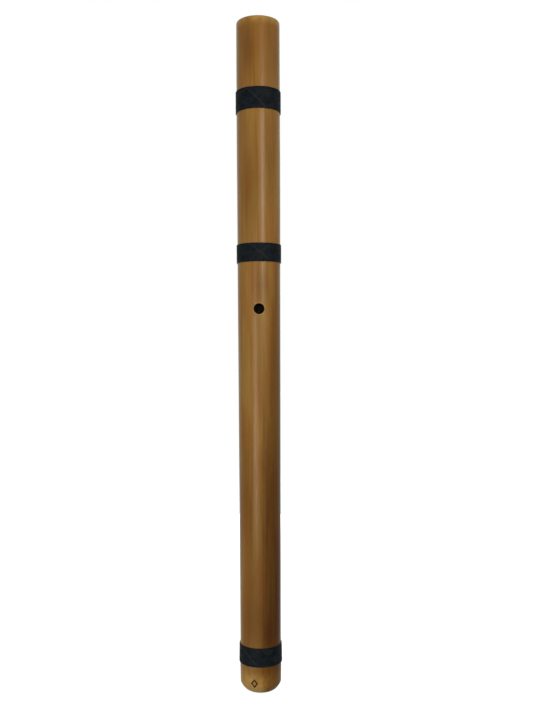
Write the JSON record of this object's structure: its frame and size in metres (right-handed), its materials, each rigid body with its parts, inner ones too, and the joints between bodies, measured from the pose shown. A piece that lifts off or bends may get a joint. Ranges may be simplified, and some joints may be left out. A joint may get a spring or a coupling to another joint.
{
  "type": "bamboo flute",
  "caption": "Upright end-blown bamboo flute: a notched tube with a thumb hole, finger holes in line on the other side, a half-closed rounded foot and black thread bindings.",
  "frame": {"origin": "centre of the foot, on the plane of its flat ring", "axes": "+Z along the tube towards the blowing end; the thumb hole faces -Y, and the blowing notch and finger holes face +Y; +X is to the right when looking at the thumb hole"},
  "size_m": [0.0414, 0.0414, 0.606],
  "materials": {
    "bamboo": "satin lacquered",
    "waxed_thread": "waxed"
  },
  "bodies": {
    "root": {"bamboo_tube": "bamboo", "upper_binding": "waxed_thread", "middle_binding": "waxed_thread", "lower_binding": "waxed_thread"}
  },
  "joints": []
}
